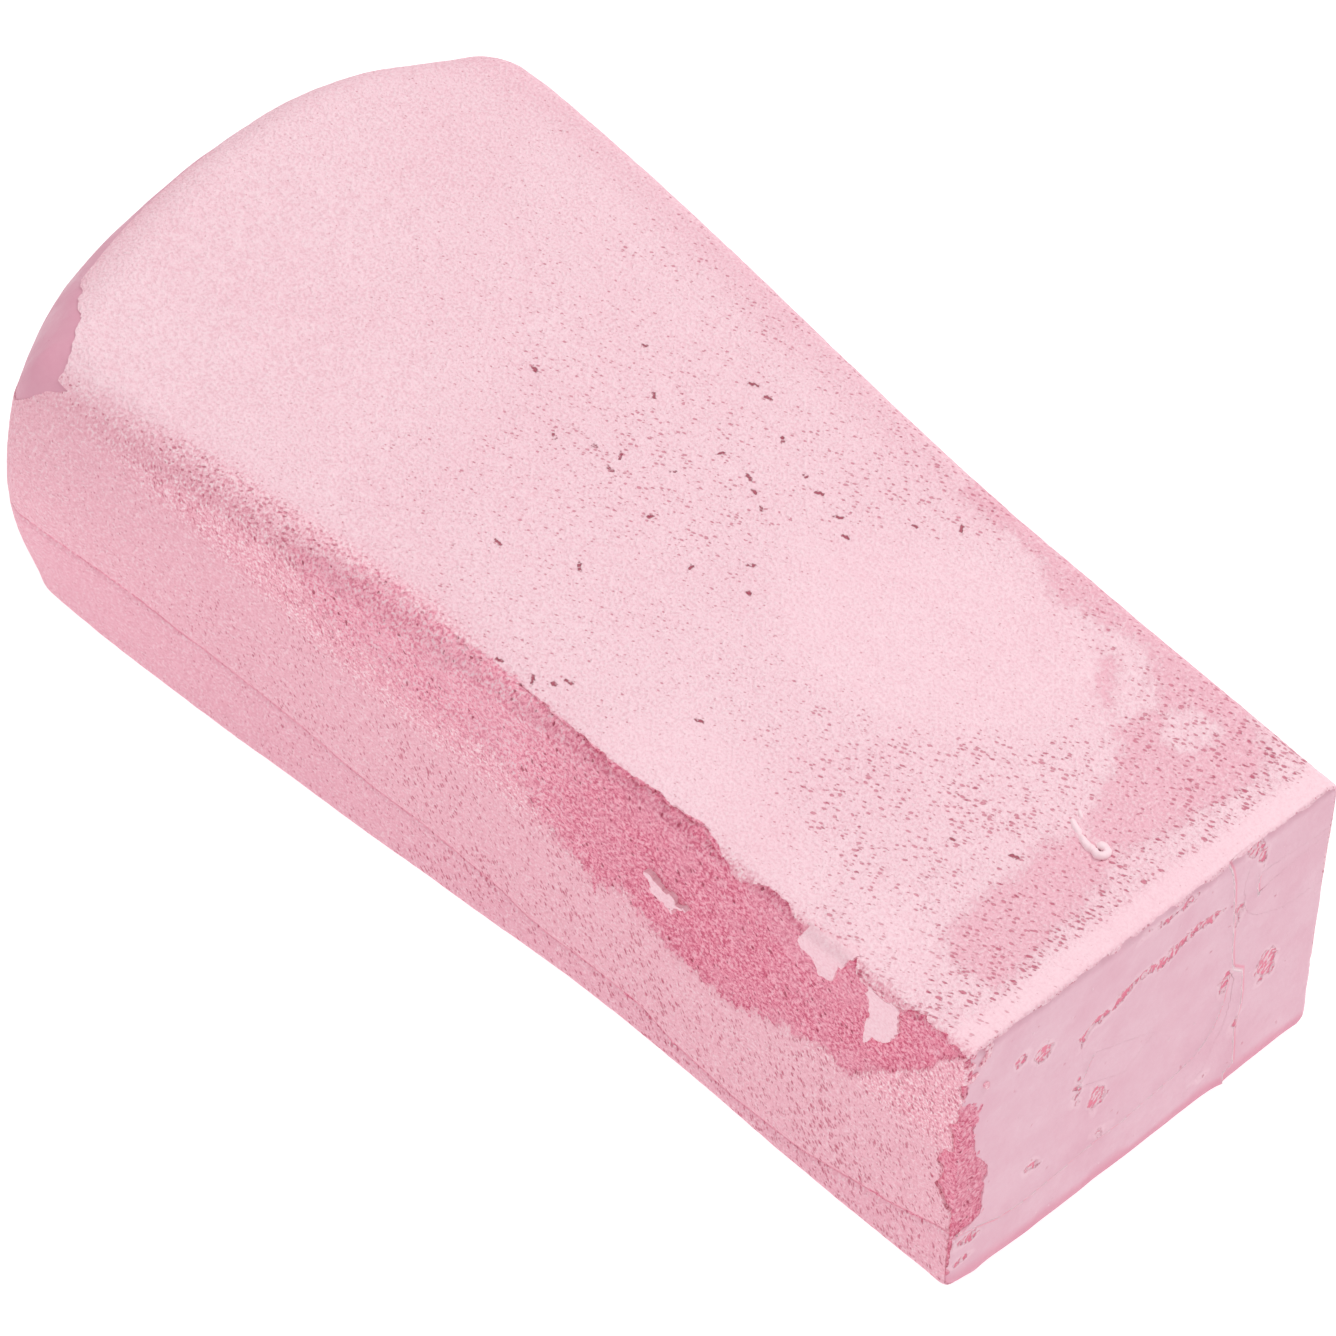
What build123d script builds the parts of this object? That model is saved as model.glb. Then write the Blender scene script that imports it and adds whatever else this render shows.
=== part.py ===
from build123d import *
import os

os.makedirs("parts", exist_ok=True)

# A cast bar of dry cutting compound, kept as the layers that it is made of: a granular core
# inside a thin pale crust, with a smooth film on each end where the mould was closed.
# The bar lies on its base along X. Its narrow square end is at +X and its wide, bowed end
# is at -X. The origin is the middle of the base.

# Driving dimensions, millimetres
length = 173.5
height = 46.0
near_width = 61.6
waist_width = 63.6
knee_width = 65.2
flare_width = 72.8
far_width = 80.6
crust = 0.8
far_corner_radius = 5.0
arris_radius = 2.2
near_arris_radius = 1.2

# Where the sides change direction, measured from the narrow end
waist_reach = 30.0
knee_reach = 57.0
flare_reach = 100.0
shoulder_reach = 160.0

# Where the layers end
near_x = length / 2
far_x = -length / 2
corner_wrap = 28.0
corner_x = near_x - 148.0

# How far the cutting outlines run past the bar
clear = 5.0

# Half widths of the plan outline, from the narrow end to the shoulder of the wide end
side_points = [
    (near_x, near_width / 2),
    (near_x - waist_reach, waist_width / 2),
    (near_x - knee_reach, knee_width / 2),
    (near_x - flare_reach, flare_width / 2),
    (near_x - shoulder_reach, far_width / 2),
]

# The torn edge of the top crust, along the left arris and round the far left corner, in plan
top_tear = [
    (near_x + clear, -31.2),
    (near_x - 13.0, -32.2),
    (near_x - 22.0, -30.6),
    (near_x - 34.0, -31.8),
    (near_x - 46.0, -30.6),
    (near_x - 60.0, -31.8),
    (near_x - 80.0, -31.6),
    (near_x - 92.0, -32.2),
    (near_x - 100.0, -34.2),
    (near_x - 108.0, -37.8),
    (near_x - 118.0, -39.5),
    (near_x - 131.0, -41.0),
    (near_x - 145.0, -42.0),
    (near_x - 151.0, -40.0),
    (near_x - 155.5, -33.5),
    (near_x - 160.0, -29.8),
    (near_x - 166.0, -20.5),
    (far_x - clear, -14.8),
]

# The torn upper edge of the left crust and its chipped narrow end, in elevation
left_tear = [
    (far_x - clear, 36.0),
    (near_x - 157.0, 37.5),
    (near_x - 151.5, 42.0),
    (near_x - 146.0, 44.4),
    (near_x - 130.0, 44.6),
    (near_x - 113.0, 44.2),
    (near_x - 104.0, 40.4),
    (near_x - 95.0, 38.0),
    (near_x - 78.0, 35.0),
    (near_x - 66.0, 28.4),
    (near_x - 55.0, 27.0),
    (near_x - 44.0, 22.8),
    (near_x - 34.0, 23.0),
    (near_x - 21.0, 28.0),
    (near_x - 11.0, 33.4),
    (near_x - 5.0, 39.4),
    (near_x - 1.4, 37.0),
    (near_x - 2.0, 28.0),
    (near_x - 4.0, 23.6),
    (near_x - 2.6, 17.0),
    (near_x - 0.9, 12.0),
    (near_x - 0.9, 0.0),
]

# The fold line where the base was poured, seen low on the left side, in elevation
base_seam = [
    (far_x - clear, 21.0),
    (near_x - 158.0, 20.8),
    (near_x - 140.0, 18.6),
    (near_x - 120.0, 14.3),
    (near_x - 103.0, 11.9),
    (near_x - 88.0, 10.6),
    (near_x - 70.0, 7.2),
    (near_x - 52.0, 6.2),
    (near_x - 36.0, 3.9),
    (near_x - 24.0, 4.9),
    (near_x - 10.0, 8.4),
    (near_x + clear, 11.6),
]

# The left edge of the narrow end's film, chipped back along the vertical arris
film_tear = [
    (-near_width / 2 + crust, height - crust),
    (-29.4, 33.7),
    (-29.6, 28.0),
    (-26.8, 22.0),
    (-26.4, 15.5),
    (-27.4, 10.5),
    (-near_width / 2 + crust, 6.0),
    (-near_width / 2 + crust, crust),
]

# Scraps of crust that still hang on the bare arris, in elevation
flake_outlines = [
    [(-26.5, 44.5), (-25.0, 41.6), (-22.4, 39.8), (-20.4, 42.0), (-19.0, 44.5)],
    [(-15.5, 44.5), (-15.2, 35.4), (-13.5, 36.2), (-11.0, 37.8), (-10.6, 44.5)],
    [(-54.5, 37.0), (-51.0, 34.4), (-46.5, 31.0), (-47.5, 33.6), (-52.0, 37.4)],
]

# Loose crumbs pressed on the top, in plan
crumb_places = [(near_x - 11.7, 1.8), (near_x - 13.6, 3.4)]
crumb_radius = 1.0
crumb_height = 0.7
crumb_taper = 30.0


def bar_form(inset):
    """The bar's form, drawn in by the inset on every face."""
    near_face = near_x - inset
    outline = [(min(x, near_face), half_width - inset) for x, half_width in side_points]
    near_corner = outline[0]
    shoulder = outline[-1]
    with BuildPart() as form:
        with BuildSketch(Plane.XY.offset(inset)):
            with BuildLine():
                Spline(*outline)
                ThreePointArc(
                    shoulder, (far_x + inset, 0), (shoulder[0], -shoulder[1])
                )
                Spline(*[(x, -half_width) for x, half_width in outline])
                Line(near_corner, (near_face, -near_corner[1]))
            make_face()
            fillet(vertices().group_by(Axis.X)[0], far_corner_radius - inset)
        extrude(amount=height - 2 * inset)
        rims = edges().filter_by(Axis.Z, reverse=True)
        near_rim = rims.group_by(Axis.X)[-1]
        fillet(rims - near_rim, arris_radius - inset)
        fillet(faces().sort_by(Axis.X)[-1].edges(), near_arris_radius - inset)
    return form.part


outer_form = bar_form(0)
inner_form = bar_form(crust)

with BuildPart() as skin:
    add(outer_form)
    add(inner_form, mode=Mode.SUBTRACT)

# Granular core, bare where the crust has broken away
with BuildPart() as core:
    add(inner_form)
core.part.label = "core"
export_step(core.part, "parts/core.step")

# Smooth film on the narrow end
with BuildPart() as near_end_film:
    add(skin.part)
    with BuildSketch(Plane.YZ.offset(near_x - crust)):
        with BuildLine():
            chipped = Spline(*film_tear)
            Polyline(
                chipped @ 1,
                (near_width / 2 - crust, crust),
                (near_width / 2 - crust, height - crust),
                chipped @ 0,
            )
        make_face()
    extrude(amount=clear, mode=Mode.INTERSECT)
near_end_film.part.label = "near_end_film"
export_step(near_end_film.part, "parts/near_end_film.step")

# Base crust, a shallow tray that reaches up the sides to the fold line
with BuildPart() as base_crust:
    add(skin.part)
    with BuildSketch(Plane.XZ.offset(-far_width)):
        with BuildLine():
            fold = Spline(*base_seam)
            Polyline(
                fold @ 1,
                (near_x + clear, -clear),
                (far_x - clear, -clear),
                fold @ 0,
            )
        make_face()
    extrude(amount=2 * far_width, mode=Mode.INTERSECT)
    add(near_end_film.part, mode=Mode.SUBTRACT)
base_crust.part.label = "base_crust"
export_step(base_crust.part, "parts/base_crust.step")

# Top crust, torn along the left arris and at the far left corner
with BuildPart() as top_crust:
    add(skin.part)
    with BuildSketch(Plane.XY.offset(height - arris_radius)):
        with BuildLine():
            torn = Spline(*top_tear)
            Polyline(
                torn @ 1,
                (far_x - clear, far_width),
                (near_x + clear, far_width),
                torn @ 0,
            )
        make_face()
    extrude(amount=arris_radius + clear, mode=Mode.INTERSECT)
    add(near_end_film.part, mode=Mode.SUBTRACT)
top_crust.part.label = "top_crust"
export_step(top_crust.part, "parts/top_crust.step")

# Left crust, from the fold line up to its torn edge
with BuildPart() as left_crust:
    add(skin.part)
    with BuildSketch(Plane.XZ.offset(corner_wrap)):
        with BuildLine():
            torn = Spline(*left_tear)
            Polyline(torn @ 1, (far_x - clear, 0), torn @ 0)
        make_face()
    extrude(amount=far_width, mode=Mode.INTERSECT)
    add(base_crust.part, mode=Mode.SUBTRACT)
    add(top_crust.part, mode=Mode.SUBTRACT)
    add(near_end_film.part, mode=Mode.SUBTRACT)
left_crust.part.label = "left_crust"
export_step(left_crust.part, "parts/left_crust.step")

# Right crust, between the base crust and the top crust
with BuildPart() as right_crust:
    add(skin.part)
    with BuildSketch(Plane.XY):
        with BuildLine():
            Polyline(
                (far_x - clear, corner_wrap),
                (near_x + clear, corner_wrap),
                (near_x + clear, far_width),
                (far_x - clear, far_width),
                close=True,
            )
        make_face()
    extrude(amount=height - arris_radius, mode=Mode.INTERSECT)
    add(base_crust.part, mode=Mode.SUBTRACT)
    add(near_end_film.part, mode=Mode.SUBTRACT)
right_crust.part.label = "right_crust"
export_step(right_crust.part, "parts/right_crust.step")

# Smooth film on the wide bowed end, bare at the far left corner
with BuildPart() as far_end_film:
    add(skin.part)
    with BuildSketch(Plane.XY):
        with BuildLine():
            Polyline(
                (far_x - clear, -far_width),
                (corner_x, -far_width),
                (corner_x, corner_wrap),
                (far_x - clear, corner_wrap),
                close=True,
            )
        make_face()
    extrude(amount=height, mode=Mode.INTERSECT)
    add(base_crust.part, mode=Mode.SUBTRACT)
    add(top_crust.part, mode=Mode.SUBTRACT)
    add(left_crust.part, mode=Mode.SUBTRACT)
far_end_film.part.label = "far_end_film"
export_step(far_end_film.part, "parts/far_end_film.step")

# Flakes of crust on the bare arris
with BuildPart() as crust_flakes:
    add(skin.part)
    with BuildSketch(Plane.XZ.offset(corner_wrap)):
        for outline in flake_outlines:
            with BuildLine():
                Polyline([(near_x + x, z) for x, z in outline], close=True)
            make_face()
    extrude(amount=far_width, mode=Mode.INTERSECT)
    add(top_crust.part, mode=Mode.SUBTRACT)
crust_flakes.part.label = "crust_flakes"
export_step(crust_flakes.part, "parts/crust_flakes.step")

# Crumbs on the top
with BuildPart() as crumbs:
    with BuildSketch(Plane.XY.offset(height)):
        with Locations(*crumb_places):
            Circle(crumb_radius)
    extrude(amount=crumb_height, taper=crumb_taper)
crumbs.part.label = "crumbs"
export_step(crumbs.part, "parts/crumbs.step")
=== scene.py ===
"""A dry cast bar of pink cutting compound: a granular core inside a pale, finely pitted crust."""

import math
from functools import partial

import bpy
import numpy as np
from mathutils import Matrix, Vector


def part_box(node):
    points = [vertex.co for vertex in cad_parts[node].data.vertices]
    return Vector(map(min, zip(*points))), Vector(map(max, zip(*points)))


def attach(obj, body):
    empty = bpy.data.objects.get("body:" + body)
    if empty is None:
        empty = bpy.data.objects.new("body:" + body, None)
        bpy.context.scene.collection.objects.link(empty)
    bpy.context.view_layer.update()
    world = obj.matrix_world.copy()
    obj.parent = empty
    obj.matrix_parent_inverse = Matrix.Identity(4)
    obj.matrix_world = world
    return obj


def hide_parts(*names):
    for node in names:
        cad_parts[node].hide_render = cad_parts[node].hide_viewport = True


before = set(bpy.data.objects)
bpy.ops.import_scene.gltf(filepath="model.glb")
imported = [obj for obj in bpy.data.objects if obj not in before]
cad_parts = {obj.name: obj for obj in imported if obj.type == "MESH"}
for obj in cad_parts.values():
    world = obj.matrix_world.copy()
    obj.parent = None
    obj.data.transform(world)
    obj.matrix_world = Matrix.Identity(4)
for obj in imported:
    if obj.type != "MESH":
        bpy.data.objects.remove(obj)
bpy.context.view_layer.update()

MM = 0.001
SEED = 11
rng = np.random.default_rng(SEED)


# ---------------------------------------------------------------- sizes taken from the frame

def cad_hit(node, start, direction):
    """Where a ray meets a CAD node, in millimetres."""
    hit, point, _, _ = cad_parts[node].ray_cast(Vector(start) * MM, Vector(direction))
    if not hit:
        raise ValueError(f"no face of {node} on the ray from {start}")
    return np.array(point) / MM


top_low, top_high = (np.array(corner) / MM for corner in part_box("top_crust"))
near_x, far_x, height = top_high[0], top_low[0], top_high[2]
length = near_x - far_x
mid_height = height / 2

side_stations = np.linspace(2.0, length - 14.0, 30)
side_widths = [cad_hit("right_crust", (near_x - d, 200, mid_height), (0, -1, 0))[1] for d in side_stations]
shoulder = side_widths[-1]

BOW_TRY = 20.0
bow_rise = cad_hit("far_end_film", (-200, BOW_TRY, mid_height), (1, 0, 0))[0] - far_x
bow_radius = (BOW_TRY ** 2 + bow_rise ** 2) / (2 * bow_rise)
bow_centre = far_x + bow_radius

# Roundings and layers, millimetres
LEFT_FAR_CORNER = 2.0
RIGHT_FAR_CORNER = 3.6
LEFT_FAR_ARRIS = 9.0
RIGHT_FAR_ARRIS = 5.0
RIGHT_ARRIS = 2.4
BASE_ARRIS = 2.2
NEAR_ARRIS = 0.7
NEAR_FOOT_ARRIS = 1.7
NEAR_LEAN = 0.6
END_DOME = 2.8
SIDE_BULGE = 6.4
BULGE_RISE = 1.3
LEFT_SWELLING = 0.3
CRUST = 0.8
CORNER_WRAP = 28.0
CORE_DEPTH = 0.34
FILM_DEPTH = 0.18


# ---------------------------------------------------------------- noise and curves

GRID = 64
lattice_values = rng.random((GRID, GRID, GRID))


def noise(p, size, shift=0.0):
    """Smooth noise between -1 and 1 whose blobs are about size millimetres wide."""
    q = np.asarray(p) / size + shift
    cell = np.floor(q).astype(int)
    f = q - cell
    f = f * f * (3 - 2 * f)
    low, high = cell % GRID, (cell + 1) % GRID
    total = 0
    for a, wa in ((low[..., 0], 1 - f[..., 0]), (high[..., 0], f[..., 0])):
        for b, wb in ((low[..., 1], 1 - f[..., 1]), (high[..., 1], f[..., 1])):
            for c, wc in ((low[..., 2], 1 - f[..., 2]), (high[..., 2], f[..., 2])):
                total = total + lattice_values[a, b, c] * wa * wb * wc
    return 2 * total - 1


def fractal(p, size, octaves=3, shift=0.0):
    """Noise with finer and fainter octaves added."""
    total = 0
    for k in range(octaves):
        total = total + noise(p, size / 2 ** k, shift + 7.3 * k) / 2 ** k
    return total / (2 - 2 ** (1 - octaves))


def step(x, low, high):
    """A smooth rise from 0 at low to 1 at high."""
    t = np.clip((x - low) / (high - low), 0, 1)
    return t * t * (3 - 2 * t)


def along(points, s):
    """Reads a curve given by a few points."""
    xs, ys = zip(*points)
    return np.interp(s, xs, ys)


def mix(a, b, t):
    return a * (1 - t) + b * t


def nearest_on(points, a, b):
    """Distance from each (a, b) to a polyline, the side it lies on, and whether it's past an end."""
    best = np.full(np.shape(a), 1e9)
    side = np.ones(np.shape(a))
    last = len(points) - 2
    for k in range(last + 1):
        (a0, b0), (a1, b1) = points[k], points[k + 1]
        ua, ub = a1 - a0, b1 - b0
        t = ((a - a0) * ua + (b - b0) * ub) / (ua * ua + ub * ub)
        beyond = ((t < 0) & (k == 0)) | ((t > 1) & (k == last))
        t = np.clip(t, 0, 1)
        away = np.hypot(a - a0 - t * ua, b - b0 - t * ub)
        turn = np.where((a - a0) * ub - (b - b0) * ua < 0, -1.0, 1.0)
        closer = away < best
        best = np.where(closer, away, best)
        side = np.where(closer, np.where(beyond, 1.0, turn), side)
    return best, side


def within(outline, a, b):
    """Signed distance to a closed outline, positive inside it."""
    ring = list(outline) + [outline[0]]
    away, _ = nearest_on(ring, a, b)
    inside = np.zeros(np.shape(a), bool)
    for (a0, b0), (a1, b1) in zip(ring[:-1], ring[1:]):
        crosses = (b0 > b) != (b1 > b)
        rise = b1 - b0 if b1 != b0 else 1e-9
        inside ^= crosses & (a < a0 + (b - b0) * (a1 - a0) / rise)
    return np.where(inside, away, -away)


def blots(spots, a, b):
    """The deepest of some oval spots, each (a, b, half width, half height), as a signed distance."""
    return np.maximum.reduce([
        (1 - np.hypot((a - a0) / ra, (b - b0) / rb)) * min(ra, rb) for a0, b0, ra, rb in spots
    ])


# ---------------------------------------------------------------- the bar's surface

def rounded_min(a, b, r):
    """The nearer of two faces, with a rounding of radius r where they meet."""
    corner = r - np.hypot(np.maximum(r - a, 0), np.maximum(r - b, 0))
    return np.where((a < r) & (b < r), corner, np.minimum(a, b))


def from_near(p):
    return near_x - p[..., 0]


def half_width(d):
    return np.interp(d, side_stations, side_widths)


LEFT_ARRIS = [(0, 1.6), (60, 2.4), (90, 4.0), (130, 5.0), (172, 5.0)]


BOW_SKEW = [(-30, 0.7), (-12, 0.0), (2, 0.2), (14, 1.2), (24, 1.6), (34, 0.8)]


def bulge(d, z):
    """How far the left side stands out beyond the plan outline."""
    belly = np.sin(np.pi * np.clip(z / height, 0, 1) ** BULGE_RISE) * step(d, 110, 165)
    return LEFT_SWELLING + SIDE_BULGE * belly


def depth(p):
    """How deep a point lies under the bar's smooth skin; negative outside."""
    x, y, z = p[..., 0], p[..., 1], p[..., 2]
    d = near_x - x
    left = y < 0
    side = half_width(d) + left * bulge(d, z) - np.abs(y)
    bowed = bow_radius - np.hypot(np.minimum(x - bow_centre, 0), y) + np.maximum(x - bow_centre, 0)
    bowed = bowed - END_DOME * (z / mid_height - 1) ** 2 + along(BOW_SKEW, y)
    plan = rounded_min(side, bowed, np.where(left, LEFT_FAR_CORNER, RIGHT_FAR_CORNER))
    side_arris = np.where(left, along(LEFT_ARRIS, d), RIGHT_ARRIS)
    far_arris = mix(LEFT_FAR_ARRIS, RIGHT_FAR_ARRIS, step(y, -25, 25))
    top_arris = mix(side_arris, far_arris, step(side - bowed, -10, 10))
    body = rounded_min(plan, height - z, top_arris)
    body = rounded_min(body, z, BASE_ARRIS)
    near_arris = mix(NEAR_ARRIS, NEAR_FOOT_ARRIS, step(z, 9, 1) * step(y, -25, -30))
    return rounded_min(body, d + NEAR_LEAN * (1 - z / height), near_arris)


def inward(p, reach=0.05):
    """The direction into the bar at each point."""
    g = np.empty_like(p)
    for axis in range(3):
        move = np.zeros(3)
        move[axis] = reach
        g[..., axis] = (depth(p + move) - depth(p - move)) / (2 * reach)
    return g


def settle(p, target=0.0, rounds=7):
    """Moves points onto the layer at the target depth."""
    for _ in range(rounds):
        g = inward(p)
        miss = (target - depth(p)) / np.maximum((g * g).sum(-1), 0.25)
        p = p + g * miss[..., None]
    return p


def unit(v):
    return v / np.maximum(np.linalg.norm(v, axis=-1, keepdims=True), 1e-9)


def girth(p):
    """Distance round the left arris: above 0 on the top, below 0 down the left side."""
    return half_width(from_near(p)) + p[..., 1] - (height - p[..., 2])


# ---------------------------------------------------------------- grids on the bar

def box_grid(across_length, across_width, up):
    """A box's six faces as grids that share their edges, bent to the bar's plan.
    across_length runs 0 to 1 from the narrow end, across_width -1 to 1, up in millimetres."""
    t, v, z = (np.asarray(a, float) for a in (across_length, across_width, up))
    shell = np.zeros((len(t), len(v), len(z)), bool)
    shell[[0, -1]] = True
    shell[:, [0, -1]] = True
    shell[:, :, [0, -1]] = True
    index = np.full(shell.shape, -1)
    index[shell] = np.arange(shell.sum())
    i, j, k = np.nonzero(shell)
    left = v[j] < 0
    reach = v[j] * (shoulder + left * bulge(length, z[k]))
    end_x = bow_centre - np.sqrt(bow_radius ** 2 - reach ** 2)
    x = near_x - t[i] * (near_x - end_x)
    y = v[j] * (half_width(near_x - x) + left * bulge(near_x - x, z[k]))
    points = np.stack([x, y, z[k]], -1)
    faces = {
        "near": quads(index[0]),
        "far": quads(index[-1])[:, ::-1],
        "left": quads(index[:, 0])[:, ::-1],
        "right": quads(index[:, -1]),
        "top": quads(index[:, :, -1])[:, ::-1],
        "base": quads(index[:, :, 0]),
    }
    return points, faces


def quads(ids):
    return np.stack([ids[:-1, :-1], ids[1:, :-1], ids[1:, 1:], ids[:-1, 1:]], -1).reshape(-1, 4)


def spaced(low, high, size):
    return np.linspace(low, high, max(2, int(round(abs(high - low) / size)) + 1))


def trim(points, faces, mask):
    """Keeps the faces where mask is above 0 and draws their edge onto its zero line."""
    inside = mask > 0
    held = inside[faces]
    count = held.sum(1)
    opposite = (count == 2) & (held[:, 0] == held[:, 2])
    faces = faces[(count >= 2) & ~opposite]
    edges = np.concatenate([faces[:, [k, (k + 1) % 4]] for k in range(4)])
    edges = np.concatenate([edges, edges[:, ::-1]])
    edges = edges[~inside[edges[:, 0]] & inside[edges[:, 1]]]
    out, kept = edges[:, 0], edges[:, 1]
    share = -mask[out] / np.maximum(mask[kept] - mask[out], 1e-9)
    crossing = points[out] + (points[kept] - points[out]) * share[:, None]
    total = np.zeros_like(points)
    hits = np.zeros(len(points))
    np.add.at(total, out, crossing)
    np.add.at(hits, out, 1)
    moved = hits > 0
    points = points.copy()
    points[moved] = total[moved] / hits[moved, None]
    used = np.unique(faces)
    renumber = np.full(len(points), -1)
    renumber[used] = np.arange(len(used))
    return points[used], renumber[faces]


def rim_edges(faces):
    """The directed edges that only one face uses."""
    edges = np.concatenate([faces[:, [k, (k + 1) % 4]] for k in range(4)])
    size = int(faces.max()) + 1
    forward = edges[:, 0] * size + edges[:, 1]
    backward = edges[:, 1] * size + edges[:, 0]
    return edges[~np.isin(forward, backward)]


# ---------------------------------------------------------------- meshes

OUTER_SPAN = 0.95


def unrolled(skin, normal, base):
    """Flattens a sheet for its texture: the base face lies flat, and its turned edges open out."""
    x, y, z = skin[:, 0], skin[:, 1], skin[:, 2]
    if base in ("top", "base"):
        drop = height - z if base == "top" else z
        flat = np.stack([-x - normal[:, 0] * drop, y + normal[:, 1] * drop], -1)
    elif base in ("left", "right"):
        drop = half_width(near_x - x) - np.abs(y)
        flat = np.stack([-x - normal[:, 0] * drop, z + normal[:, 2] * drop], -1)
    else:
        drop = np.abs(x - (near_x if base == "near" else far_x))
        flat = np.stack([y + normal[:, 1] * drop, z + normal[:, 2] * drop], -1)
    low, high = flat.min(0), flat.max(0)
    return (flat - low) / np.maximum(high - low, 1e-6)


def new_mesh(name, points, faces, uv, attributes, material):
    """Makes an object from arrays in millimetres; faces is a list of index rows."""
    mesh = bpy.data.meshes.new(name)
    mesh.from_pydata((points * MM).tolist(), [], faces)
    corner = np.empty(len(mesh.loops), np.int32)
    mesh.loops.foreach_get("vertex_index", corner)
    layer = mesh.uv_layers.new(name="OFBake")
    layer.data.foreach_set("uv", uv[corner].astype(np.float32).ravel())
    for key, values in attributes.items():
        attribute = mesh.attributes.new(key, "FLOAT", "POINT")
        attribute.data.foreach_set("value", np.asarray(values, np.float32))
    mesh.materials.append(material)
    mesh.shade_smooth()
    mesh.set_sharp_from_angle(angle=math.radians(52))
    piece = bpy.data.objects.new(name, mesh)
    bpy.context.scene.collection.objects.link(piece)
    return piece


def new_piece(name, node, points, faces, uv, attributes, material, hidden_from=None):
    """Makes a finished piece from arrays in millimetres. Vertices from hidden_from on are thinned."""
    mesh = bpy.data.meshes.new(name)
    mesh.from_pydata((points * MM).tolist(), [], [list(face) for face in faces])
    corner = np.empty(len(mesh.loops), np.int32)
    mesh.loops.foreach_get("vertex_index", corner)
    layer = mesh.uv_layers.new(name="OFBake")
    layer.data.foreach_set("uv", uv[corner].astype(np.float32).ravel())
    for key, values in attributes.items():
        attribute = mesh.attributes.new(key, "FLOAT", "POINT")
        attribute.data.foreach_set("value", np.asarray(values, np.float32))
    mesh.materials.append(material)
    piece = bpy.data.objects.new(name, mesh)
    bpy.context.scene.collection.objects.link(piece)
    if hidden_from is not None:
        thin_back(piece, hidden_from)
    piece.data.shade_smooth()
    piece.data.set_sharp_from_angle(angle=math.radians(55))
    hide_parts(node)
    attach(piece, "root")
    return piece


def thin_back(piece, start, keep=0.56):
    """Collapses the hidden back of a sheet to fewer faces, and leaves its outer side as it is."""
    group = piece.vertex_groups.new(name="back")
    group.add(list(range(start, len(piece.data.vertices))), 1.0, "REPLACE")
    modifier = piece.modifiers.new("thin_back", "DECIMATE")
    modifier.vertex_group = group.name
    modifier.vertex_group_factor = 1000.0
    modifier.ratio = keep
    depsgraph = bpy.context.evaluated_depsgraph_get()
    thinned = bpy.data.meshes.new_from_object(piece.evaluated_get(depsgraph))
    piece.modifiers.remove(modifier)
    piece.data = thinned


def sheet(name, node, base, grid, mask, rise, material, fixed={}):
    """A thin layer of the bar, trimmed by mask, risen by the rise function, and closed behind."""
    points, sides = grid
    faces = np.concatenate(list(sides.values()))
    points = settle(points)
    points, faces = trim(points, faces, mask(points))
    skin = settle(points, rounds=3)
    out = -unit(inward(skin))
    outer = skin + out * rise(skin, out)[:, None]
    inner = skin - out * CRUST
    count = len(outer)
    rim = rim_edges(faces)
    wall = np.stack([rim[:, 1], rim[:, 0], rim[:, 0] + count, rim[:, 1] + count], -1)
    faces = np.concatenate([faces, faces[:, ::-1] + count, wall])
    uv = unrolled(skin, out, base)
    back_uv = np.stack([OUTER_SPAN + 0.01 + uv[:, 0] * 0.04, uv[:, 1]], -1)
    uv = np.concatenate([uv * (OUTER_SPAN, 1), back_uv])
    found = traits(skin, out)
    found.update({key: np.full(count, value) for key, value in fixed.items()})
    attributes = {key: np.tile(value, 2) for key, value in found.items()}
    attributes["raw"][count:] = 1.0
    points = np.concatenate([outer, inner])
    return new_piece(name, node, points, faces, uv, attributes, material, count)


# ---------------------------------------------------------------- torn edges, in millimetres
# d is the distance from the narrow end, g the girth from the left arris, z the height.

TOP_TEAR = [
    (-2, -0.7), (4, -0.5), (9, 0), (10.6, -2), (15, -2.9), (17.8, -1.5), (19, 1.4), (26, -0.9),
    (30, 0.2), (33, 0.8), (37, -1.9), (42, 1.1), (45, 2), (49, 1.1), (52, 1.5), (58, 0.9),
    (68, 1.3), (80, 1.9), (90, 1.6), (98, 0.8), (104, -0.4), (110, -1.8), (116, -2.6), (180, -2.6),
]
LEFT_TEAR = [
    (0, 0), (4.4, -4.5), (5, -6.5), (10.7, -12.5), (15, -16.7), (17.6, -20), (21.5, -18),
    (27, -20.2), (31.5, -21.3), (36, -23.5), (44, -23.2), (47.6, -22.9), (52.5, -20), (55, -18.4),
    (60, -21), (62.5, -19), (66, -18), (69, -15.2), (71, -13.4), (75.5, -11), (81, -10.2),
    (86, -9.7), (95, -8.0), (102, -6.0), (108, -3.6), (114, -1.8), (120, -1.4), (147, -1.8),
    (150, -3.4), (152, -4.4), (153.7, -6), (157, -9), (161, -10), (180, -10.4),
]
LEFT_TUCK = [(0, 0.6), (20, 1.5), (40, 3), (108, 3), (118, 0.5), (180, 0.5)]
LEFT_FADE = [(0, 0.8), (20, 1.2), (45, 3), (80, 5), (104, 7), (112, 7)]
TOP_FADE = [(0, 0.2), (62, 0.3), (74, 1.2), (90, 1.8), (112, 2.4)]
BAND_TOP = [(60, 1), (80, 3), (92, 5), (110, 4.6), (122, 4.2), (132, 3.6), (141, 1.6), (152, -0.5)]
BAND_LOW = [(60, -20), (95, -17), (107, -14.5), (117, -12), (126, -10), (135, -8.5), (143, -7.4), (155, -6)]
BAND_RAW = [(60, 0), (84, 0.38), (100, 0.42), (108, 0.2), (120, -0.08), (135, -0.3), (165, -0.6)]
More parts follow.
